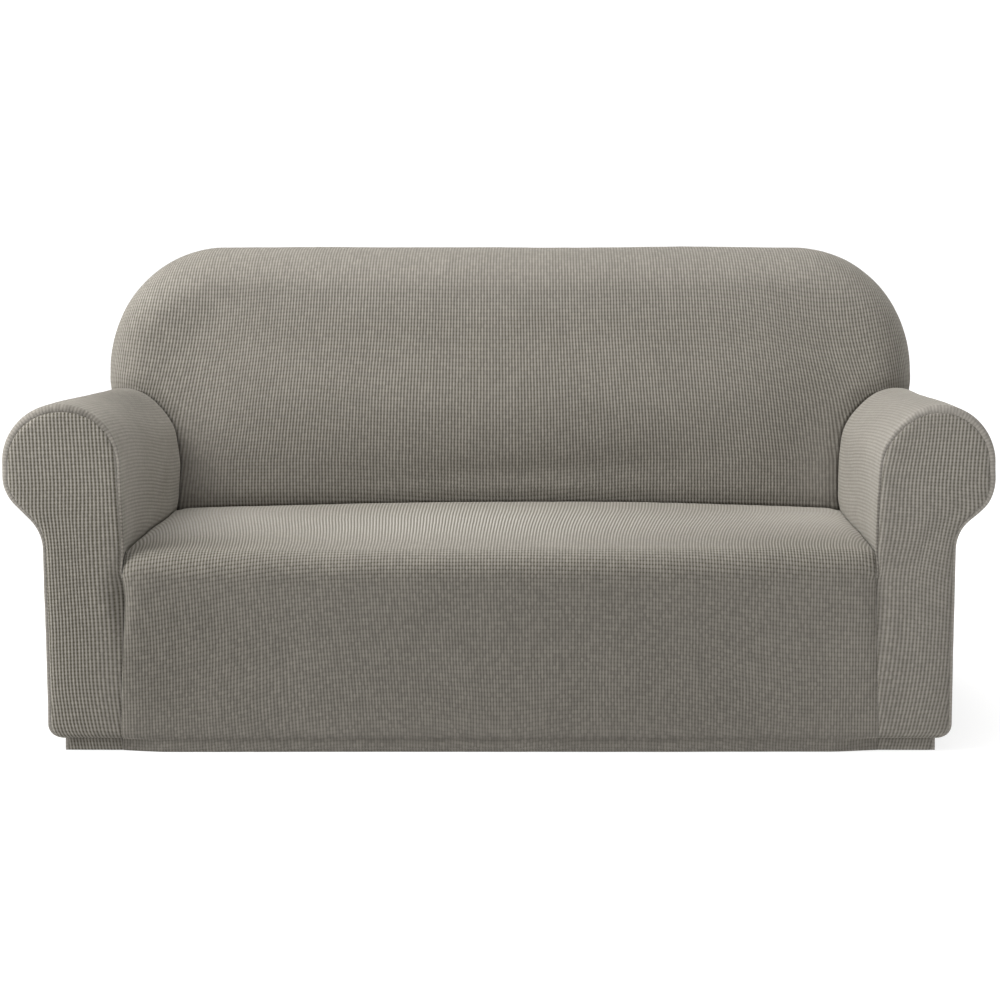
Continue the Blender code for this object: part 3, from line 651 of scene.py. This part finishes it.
def sewPanel(node, grids, look, flip):  # grids are pairs of points and their place on the flat cloth
    mesh = bmesh.new()
    uv = mesh.loops.layers.uv.new("weave")
    layers = [mesh.verts.layers.float.new(name) for name in ("relief", "rows", "tone")]
    for points, weave in grids:
        checks = dragged(node, points, weave / np.array(look["check"]))
        values = reliefRowsAndPaintedTone(node, points, look)
        verts = [[mesh.verts.new(p) for p in row] for row in settle(node, points)]
        for r, row in enumerate(verts):
            for c, vert in enumerate(row):
                for layer, value in zip(layers, values):
                    vert[layer] = value[r, c]
        for r in range(len(verts) - 1):
            for c in range(len(verts[0]) - 1):
                corners = [(r, c), (r, c + 1), (r + 1, c + 1), (r + 1, c)]
                if flip:
                    corners.reverse()
                face = mesh.faces.new([verts[i][j] for i, j in corners])
                for loop, (i, j) in zip(face.loops, corners):
                    loop[uv].uv = checks[i, j]
    bmesh.ops.remove_doubles(mesh, verts=mesh.verts, dist=cloth["weld"])
    drawIn(mesh, cloth["seamGap"] / 2)
    data = bpy.data.meshes.new(node + "Cloth")
    mesh.to_mesh(data)
    mesh.free()
    data.shade_smooth()
    piece = bpy.data.objects.new(node + "Cloth", data)
    bpy.context.scene.collection.objects.link(piece)
    shell = piece.modifiers.new("cloth thickness", "SOLIDIFY")
    shell.thickness = cloth["thickness"]
    shell.offset = -1
    shell.use_quality_normals = True
    pieces.append((piece, node, look["flat"]))
    print("sewn", node, len(data.polygons), "faces, area", round(sum(p.area for p in data.polygons), 3))
    return piece


def armPanel(node, side):
    inner, outer = innerRows(), outerRows()
    anchor = arm["cells"]["round"] + 1
    grids = []
    for rows in (inner, outer):
        depth = runLength(rows, 0)
        depth = depth - depth[anchor : anchor + 1] + rows[anchor : anchor + 1, :, 1]
        around = runLength(rows[anchor : anchor + 1], 1)
        if rows is inner:
            wallTop = arm["cells"]["wall"]
            around = around - around[:, wallTop : wallTop + 1]
            end = float(around[0, -1])
            around = np.repeat(around, len(rows), 0)
            around[:, : wallTop + 1] = rows[:, : wallTop + 1, 2] - arm["rollZ"]
        else:
            around = np.repeat(around + end, len(rows), 0)
        points = mirrored(rows) if side == left else rows
        grids.append((points, np.stack([around, depth], 2)))
    return sewPanel(node, grids, arm["wrap"], flip=side == left)


def armFrontPanel(node, side):
    inner, outer = innerRows()[0], outerRows()[0]
    scroll = np.concatenate([inner, outer[1:]])
    seam = skirtSeam(inner[0])
    edge = np.concatenate([seam[::-1], scroll[1:]])
    across = arm["cells"]["front"]
    across += (len(edge) - 1 - across) % 2
    upright = (len(edge) - 1 - across) // 2
    inside, outside = edge[: upright + 1], edge[upright + across :][::-1]
    over = edge[upright : upright + across + 1]
    hem = [inside[0]] + steps(inside[0], outside[0], across)
    points = coons(hem, over, inside, outside)
    rowShare = np.linspace(0, 1, len(points))[:, None]
    columnShare = np.linspace(0, 1, across + 1)[None]
    fullness = np.sqrt(np.clip(np.sin(pi * rowShare) * np.sin(pi * columnShare), 0, 1))
    points[..., 1] -= arm["frontFill"] * fullness
    z, look = points[..., 2], arm["frontLeft" if side == left else "frontRight"]
    hanging = frontRibs["inside"] + frontRibs["width"] * columnShare
    ribs = mix(points[..., 0], hanging, frontRibs["share"] * smooth(*frontRibs["fromZ"], z))
    ribs = ribs - look["lean"] * z + look["footBend"] * np.exp(-z / frontRibs["footZ"])
    weave = np.stack([ribs * side, z], 2)
    if side == left:
        points = mirrored(points)
    return sewPanel(node, [(points, weave)], look, flip=side == left)


def seatRow(end, forward, skirt, tuck=0.0):
    share = np.linspace(-1, 1, 2 * seat["cells"]["halfWidth"] + 1)
    share = np.sign(share) * (1 - (1 - np.abs(share)) ** seat["crowding"])
    inside = fit["creaseHalf"] * (1 - np.abs(share))
    fullness = np.sqrt(np.sin(pi / 2 * np.minimum(inside / seat["valley"], 1.0)))
    proud = mix(seat["proudLow"], seat["proudHigh"], float(smooth(*seat["taperZ"], end[2]))) * skirt
    proud = proud * mix(1.0, seat["proudRight"], smooth(*seat["proudRightFrom"], share))
    x = fit["creaseHalf"] * share
    creaseZ = seat["z"] + back["creaseRise"] * (1 - share**2)
    flush = tuck * (1 - seat["hemTuck"]) * smooth(0, seat["hemFlush"], inside)
    y = end[1] - proud * fullness - flush + (backFaceY(x, creaseZ) - back["y"]) * (1 - forward)
    crown = seat["crown"] * sin(pi * forward) * np.sqrt(np.maximum(1 - share**2, 0))
    return np.stack([end[0] * share, y, end[2] + crown + (creaseZ - seat["z"]) * (1 - forward)], 1)


def seatPanel():
    side = innerRows()[::-1, 0]
    rows = []
    for end in side:
        forward = min((side[0, 1] - end[1]) / (side[0, 1] - fit["frontY"]), 1.0)
        turned = float(smooth(fit["frontY"] + seat["turn"], fit["frontY"], end[1]))
        rows.append(seatRow(end, forward, turned))
    front = len(rows)
    rows += [seatRow(end, 1.0, 1.0, max(end[1] - side[-1, 1], 0.0)) for end in skirtSeam(side[-1])[1:]]
    points = np.array(rows)
    across = runLength(points, 1)
    across = across - across[:, seat["cells"]["halfWidth"]][:, None]
    along = runLength(points, 0)
    along = along - along[front - 1 : front]
    rearward = smooth(fit["frontY"], back["y"], points[:, seat["cells"]["halfWidth"], 1])[:, None]
    across = across / (1 + seat["fan"] * rearward) - seat["skew"] * rearward
    return sewPanel("seat_front", [(points, np.stack([across, along], 2))], seat["look"], flip=True)


def innerBackPanel():
    armEnd = innerRows()[-1]
    cells = arm["cells"]
    outline = backOutline(back["edgeRadius"], rear=False)
    face = np.stack([outline[:, 0], backFaceY(outline[:, 0], outline[:, 1]), outline[:, 1]], 1)
    turned = back["cells"]["shoulder"] + back["cells"]["corner"] // 2
    rightEdge = np.concatenate([armEnd[: cells["wall"] + cells["roll"] + 1], face[1 : turned + 1]])
    top = face[turned : len(face) - turned][::-1]
    share = np.linspace(-1, 1, len(top))
    bottomX = fit["creaseHalf"] * share
    bottomZ = seat["z"] + back["creaseRise"] * (1 - share**2)
    bottom = np.stack([bottomX, backFaceY(bottomX, bottomZ), bottomZ], 1)
    front = coons(bottom, top, mirrored(rightEdge), rightEdge)
    front[..., 1] = backFaceY(front[..., 0], front[..., 2])
    rise = 1 / cos(back["rake"])
    frontWeave = np.stack([front[..., 0], (front[..., 2] - seat["z"]) * rise], 2)
    strip = []
    for turn in edgeTurns():
        shape = backOutline(back["edgeRadius"] * (1 - sin(turn)), rear=False)
        strip.append(ring(shape, 0.0, face[:, 1] + back["edgeRadius"] * (1 - cos(turn))))
    for y in steps(strip[-1][:, 1], fit["rearY"] - fit["rearRound"], cells["reach"]):
        strip.append(ring(shape, 0.0, y))
    for inward, forward in roundings(np.array([rearInset]))[1:]:
        shape = backOutline(float(inward[0]), rear=True)
        strip.append(ring(shape, 0.0, shape[:, 0] * 0 + fit["rearY"] - forward[0]))
    strip = np.array(strip)[:, ::-1]
    outward = outline[::-1, 2:]
    run = runLength(strip, 0)[..., None]
    start = np.stack([face[::-1, 0], (face[::-1, 2] - seat["z"]) * rise], 1)
    stripWeave = start[None] + outward[None] * run
    for weave in (frontWeave, stripWeave):
        height = np.clip(weave[..., 1] - back["fanFrom"], 0, fit["topZ"] - seat["z"])
        weave[..., 0] /= 1 - back["fan"] * height
    return sewPanel("inner_back", [(front, frontWeave), (strip, stripWeave)], back["look"], flip=False)


def outerBackPanel():
    crest = rearTop()
    turned = back["cells"]["shoulder"] + back["cells"]["corner"] // 2
    armEdge = outerRows()[-1][::-1]
    rightEdge = np.concatenate([armEdge, crest[1 : turned + 1]])
    top = crest[turned : len(crest) - turned][::-1]
    leftEdge = mirrored(rightEdge)
    bottom = [leftEdge[0]] + steps(leftEdge[0], rightEdge[0], len(top) - 1)
    grid = coons(bottom, top, leftEdge, rightEdge, len(armEdge) - 1)
    weave = np.stack([grid[..., 0], grid[..., 2]], 2)
    return sewPanel("outer_back", [(grid, weave)], back["rear"], flip=True)


noise.seed_set(cloth["noiseSeed"])
drawSeams()
seatPanel()
innerBackPanel()
outerBackPanel()
armPanel("arm_left", left)
armPanel("arm_right", right)
armFrontPanel("arm_front_left", left)
armFrontPanel("arm_front_right", right)

low = np.min([np.min([v.co for v in piece.data.vertices], axis=0) for piece, _, _ in pieces], axis=0)
high = np.max([np.max([v.co for v in piece.data.vertices], axis=0) for piece, _, _ in pieces], axis=0)
shift = Vector((-(low[0] + high[0]) / 2, -(low[1] + high[1]) / 2, -low[2]))
for piece, _, _ in pieces:
    for vert in piece.data.vertices:
        vert.co += shift
print("shift", shift, "size", high - low)


# Knit

knit = {
    "raised": (0.252, 0.236, 0.213, 1),
    # the darker groove colour is painted shade in the grooves between the ribs, beside a bump of the same
    # pattern
    "grooveShade": (0.051, 0.046, 0.030, 1),
    "grooves": 0.66,  # share of the painted shade in the grooves between ribs, and in the rows across them
    "rows": 0.14,
    "crossings": 0.20,
    "grooveSharpness": 1.1,
    "rowSharpness": 2.2,
    "relief": 0.0012,
    "saturation": (1.45, -0.38),  # at tone 0, and its change with tone: where painted light makes the cloth paler it has less colour
    "checkTone": 0.16,  # each check is a little lighter or darker than the next
    "yarnNoise": (700.0, 2.0),  # scale and detail
    "yarnTone": 0.25,
    "yarnBump": 0.10,
    "mottleNoise": (9.0, 5.0),
    "mottleTone": 0.14,
    "roughness": 0.90,
    "specular": 0.2,
    "sheen": 0.30,
    "sheenRoughness": 0.50,
    "sheenTint": (0.80, 0.76, 0.67, 1),
}


def wire(node, inputs):  # sets or links its sockets, by name or number
    for name, value in inputs.items():
        if isinstance(value, bpy.types.NodeSocket):
            node.id_data.links.new(value, node.inputs[name])
        else:
            node.inputs[name].default_value = value
    return node


def addNode(tree, kind, inputs={}, **settings):
    node = tree.nodes.new(kind)
    for name, value in settings.items():
        setattr(node, name, value)
    return wire(node, inputs)


def addNoise(tree, place, scale, detail):
    inputs = {"Vector": place, "Scale": scale, "Detail": detail}
    return addNode(tree, "ShaderNodeTexNoise", inputs).outputs["Fac"]


def newMaterial(name):
    material = bpy.data.materials.new(name)
    material.use_nodes = True
    return material, material.node_tree, material.node_tree.nodes["Principled BSDF"]


def knitMaterial():
    material, tree, shader = newMaterial("ribbedKnit")

    def math(kind, *values):
        return addNode(tree, "ShaderNodeMath", dict(enumerate(values)), operation=kind).outputs[0]

    def attribute(name):
        return addNode(tree, "ShaderNodeAttribute", attribute_name=name).outputs["Fac"]

    def valley(coordinate, sharpness):  # 1 on the line between two checks, 0 on their tops
        wave = math("COSINE", math("MULTIPLY", coordinate, 2 * pi))
        return math("POWER", math("MULTIPLY_ADD", wave, 0.5, 0.5), sharpness)

    weave = addNode(tree, "ShaderNodeUVMap", uv_map="weave").outputs["UV"]
    split = addNode(tree, "ShaderNodeSeparateXYZ", {0: weave}).outputs
    grooveShade = valley(split["X"], knit["grooveSharpness"])
    row = math("MULTIPLY", valley(split["Y"], knit["rowSharpness"]), attribute("rows"))
    depth = math("MULTIPLY_ADD", row, knit["rows"], math("MULTIPLY", grooveShade, knit["grooves"]))
    depth = math("MULTIPLY_ADD", math("MULTIPLY", grooveShade, row), knit["crossings"], depth)
    shade = math("MULTIPLY", depth, attribute("relief"))

    place = addNode(tree, "ShaderNodeTexCoord").outputs["Object"]
    yarn, mottle = addNoise(tree, place, *knit["yarnNoise"]), addNoise(tree, place, *knit["mottleNoise"])
    snapped = addNode(tree, "ShaderNodeVectorMath", {0: weave}, operation="FLOOR").outputs[0]
    check = addNode(tree, "ShaderNodeTexWhiteNoise", {"Vector": snapped}, noise_dimensions="2D")
    # tone carries the painted light and painted shade of each panel and of the table of local changes; the
    # noises below add random tone
    tone = attribute("tone")
    value = tone
    for change, amount in ((check.outputs["Value"], "checkTone"), (yarn, "yarnTone"), (mottle, "mottleTone")):
        value = math("MULTIPLY_ADD", math("SUBTRACT", change, 0.5), knit[amount], value)

    colours = {"A": knit["raised"], "B": knit["grooveShade"], "Factor": shade}
    blend = addNode(tree, "ShaderNodeMix", colours, data_type="RGBA").outputs["Result"]
    plain, fading = knit["saturation"]
    saturation = math("MULTIPLY_ADD", tone, fading, plain)
    toned = {"Color": blend, "Saturation": saturation, "Value": value}
    toned = addNode(tree, "ShaderNodeHueSaturation", toned)
    height = math("MULTIPLY_ADD", yarn, knit["yarnBump"], math("SUBTRACT", 1.0, shade))
    bump = addNode(tree, "ShaderNodeBump", {"Distance": knit["relief"], "Height": height})
    wire(shader, {
        "Base Color": toned.outputs["Color"],
        "Normal": bump.outputs["Normal"],
        "Roughness": knit["roughness"],
        "Specular IOR Level": knit["specular"],
        "Sheen Weight": knit["sheen"],
        "Sheen Roughness": knit["sheenRoughness"],
        "Sheen Tint": knit["sheenTint"],
    })
    return material


ribbedKnit = knitMaterial()
for piece, _, _ in pieces:
    piece.data.materials.append(ribbedKnit)
print("knit on", len(pieces), "panels")


# Stitching along the hem

stitching = {
    "height": 0.0060,  # above the lower edge
    "edgeZ": 0.005,  # the lower edge lies below this
    "proud": 0.0002,
    "spacing": 0.0046,
    "size": (0.0034, 0.0008, 0.0008),
    "uneven": (0.85, 1.10),  # smallest and largest share of the size
    "seed": 4,
    "segments": 6,
    "rings": 4,
    "colour": (0.235, 0.218, 0.190, 1),
    "twistNoise": (1400.0, 2.0),
    "twist": 0.5,
    "roughness": 0.75,
}


def hemLine(piece):  # the panel's lower edge, point by point, lifted to the stitching
    mesh = bmesh.new()
    mesh.from_mesh(piece.data)
    beside = {}
    for edge in mesh.edges:
        if edge.is_boundary and max(vert.co.z for vert in edge.verts) < stitching["edgeZ"]:
            for vert in edge.verts:
                beside.setdefault(vert, []).append(edge.other_vert(vert))
    ends = [vert for vert in beside if len(beside[vert]) == 1]
    here = min(ends, key=lambda vert: (round(vert.co.x, 3), vert.co.y))
    line, seen = [], set()
    while here is not None:
        seen.add(here)
        line.append(here.co + here.normal * stitching["proud"] + Vector((0, 0, stitching["height"])))
        here = next((vert for vert in beside[here] if vert not in seen), None)
    mesh.free()
    return line


def threadMaterial():
    material, tree, shader = newMaterial("hemThread")
    place = addNode(tree, "ShaderNodeTexCoord").outputs["Object"]
    twist = addNoise(tree, place, *stitching["twistNoise"])
    twisted = {"Color": stitching["colour"], "Value": twist, "Fac": stitching["twist"]}
    tone = addNode(tree, "ShaderNodeHueSaturation", twisted)
    wire(shader, {"Base Color": tone.outputs["Color"], "Roughness": stitching["roughness"]})
    return material


def stitchNodes(material):
    tree = bpy.data.node_groups.new("hemStitches", "GeometryNodeTree")
    names = {}
    for name, kind in (("Line", "Geometry"), ("Spacing", "Float"), ("Size", "Vector"), ("Seed", "Int")):
        socket = tree.interface.new_socket(name=name, in_out="INPUT", socket_type="NodeSocket" + kind)
        names[name] = socket.identifier
    tree.interface.new_socket(name="Stitches", in_out="OUTPUT", socket_type="NodeSocketGeometry")

    def add(kind, output, inputs={}, **settings):
        return addNode(tree, kind, inputs, **settings).outputs[output]

    given = addNode(tree, "NodeGroupInput").outputs
    path = add("GeometryNodeMeshToCurve", "Curve", {"Mesh": given["Line"]})
    spacing = {"Curve": path, "Length": given["Spacing"]}
    spaced = add("GeometryNodeResampleCurve", "Curve", spacing, mode="LENGTH")
    ball = {"Segments": stitching["segments"], "Rings": stitching["rings"], "Radius": 0.5}
    thread = add("GeometryNodeMeshUVSphere", "Mesh", ball)
    thread = add("GeometryNodeTransform", "Geometry", {"Geometry": thread, "Scale": given["Size"]})
    tangent = add("GeometryNodeInputTangent", "Tangent")
    turn = add("FunctionNodeAlignRotationToVector", "Rotation", {"Vector": tangent}, axis="X")
    least, most = stitching["uneven"]
    spread = {"Min": least, "Max": most, "Seed": given["Seed"]}
    uneven = add("FunctionNodeRandomValue", "Value", spread, data_type="FLOAT")
    places = {"Points": spaced, "Instance": thread, "Rotation": turn, "Scale": uneven}
    stitches = add("GeometryNodeInstanceOnPoints", "Instances", places)
    stitches = add("GeometryNodeRealizeInstances", "Geometry", {"Geometry": stitches})
    stitches = add("GeometryNodeSetMaterial", "Geometry", {"Geometry": stitches, "Material": material})
    addNode(tree, "NodeGroupOutput", {"Stitches": stitches})
    return tree, names


def stitchHem(piece, node, tree, names):
    line = hemLine(piece)
    base = bpy.data.meshes.new(node + "HemLine")
    base.from_pydata(line, [(i, i + 1) for i in range(len(line) - 1)], [])
    run = bpy.data.objects.new(node + "Hem", base)
    bpy.context.scene.collection.objects.link(run)
    stitches = run.modifiers.new("stitches", "NODES")
    stitches.node_group = tree
    stitches[names["Spacing"]] = stitching["spacing"]
    stitches[names["Size"]] = stitching["size"]
    stitches[names["Seed"]] = stitching["seed"]
    made = bpy.data.meshes.new_from_object(run.evaluated_get(bpy.context.evaluated_depsgraph_get()))
    run.modifiers.remove(stitches)
    run.data = made
    bpy.data.meshes.remove(base)
    made.name = node + "Hem"
    made.shade_smooth()
    return run


hemStitches = {}
stitchTree, stitchInputs = stitchNodes(threadMaterial())
for piece, node, _ in pieces:
    if node != "inner_back":  # this panel ends in the creases, above the hem
        hemStitches[node] = stitchHem(piece, node, stitchTree, stitchInputs)
print("hem stitched with", sum(len(run.data.polygons) for run in hemStitches.values()), "faces")


# Studio

studio = {
    "white": (1, 1, 1, 1),
    "floorColour": (0.26, 0.26, 0.26, 1),
    "floorRoughness": 0.9,
    "floorGlow": (0.74, 1.12),  # near the cover and far from it
    "glowReach": (0.75, 1.35),
    "floorSize": 60.0,
    "floorDrop": 0.0004,
    "skyStrength": 0.10,
    "backdropStrength": 1.10,  # the backdrop is lit white up to a low height all round
    "backdropHeight": (0.13, 0.32),
    "lights": (
        # name, place, aim, size, power
        ("sideLight", (-3.4, -1.6, 2.5), (0.1, 0.0, 0.45), 2.6, 98.0),
        ("highLight", (-2.1, -1.0, 3.1), (0.0, 0.0, 0.50), 2.2, 108.0),
        ("topLight", (0.1, -0.4, 3.2), (0.0, 0.0, 0.40), 2.6, 52.0),
        ("fillLight", (0.6, -3.4, 2.6), (0.0, 0.0, 0.60), 2.4, 15.0),
    ),
    "cameraPlace": (0.1352, -4.21, 0.9147),
    "cameraPitch": 6.76,
    "cameraLens": 75.5,
    "cameraShift": -0.0735,
}


def fade(tree, value, source, target):  # maps one span of values to another
    spans = dict(zip(("From Min", "From Max", "To Min", "To Max"), (*source, *target)))
    return addNode(tree, "ShaderNodeMapRange", {"Value": value, **spans}).outputs["Result"]


floorMesh = bpy.data.meshes.new("studioFloor")
half = studio["floorSize"] / 2
corners = [(x * half, y * half, -studio["floorDrop"]) for x, y in ((-1, -1), (1, -1), (1, 1), (-1, 1))]
floorMesh.from_pydata(corners, [], [(0, 1, 2, 3)])
floor = bpy.data.objects.new("studioFloor", floorMesh)
bpy.context.scene.collection.objects.link(floor)
floorPaint, floorTree, paint = newMaterial("floorPaint")
spot = addNode(floorTree, "ShaderNodeTexCoord").outputs["Object"]
distance = addNode(floorTree, "ShaderNodeVectorMath", {0: spot}, operation="LENGTH").outputs["Value"]
wire(paint, {
    "Base Color": studio["floorColour"],
    "Roughness": studio["floorRoughness"],
    "Emission Color": studio["white"],
    "Emission Strength": fade(floorTree, distance, studio["glowReach"], studio["floorGlow"]),
})
floorMesh.materials.append(floorPaint)

world = bpy.data.worlds.new("studioWorld")
world.use_nodes = True
sky = world.node_tree
heading = addNode(sky, "ShaderNodeTexCoord").outputs["Generated"]
height = addNode(sky, "ShaderNodeSeparateXYZ", {0: heading}).outputs["Z"]
strengths = (studio["backdropStrength"], studio["skyStrength"])
backdrop = fade(sky, height, studio["backdropHeight"], strengths)
wire(sky.nodes["Background"], {"Color": studio["white"], "Strength": backdrop})
bpy.context.scene.world = world


def softLight(name, place, aim, size, power):
    lamp = bpy.data.lights.new(name, "AREA")
    lamp.shape = "DISK"
    lamp.size = size
    lamp.energy = power
    holder = bpy.data.objects.new(name, lamp)
    holder.location = place
    holder.rotation_euler = (Vector(aim) - Vector(place)).to_track_quat("-Z", "Y").to_euler()
    bpy.context.scene.collection.objects.link(holder)


for light in studio["lights"]:
    softLight(*light)

camera = bpy.data.objects.new("camera", bpy.data.cameras.new("camera"))
camera.location = Vector(studio["cameraPlace"]) + shift
camera.rotation_euler = (radians(90 - studio["cameraPitch"]), 0, 0)
camera.data.lens = studio["cameraLens"]
camera.data.shift_x = studio["cameraShift"]
bpy.context.scene.collection.objects.link(camera)
bpy.context.scene.camera = camera
bpy.context.scene.view_settings.view_transform = "Standard"

for piece, node, flat in pieces:
    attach(piece, "root")
    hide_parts(node)
    if node in hemStitches:
        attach(hemStitches[node], "root")
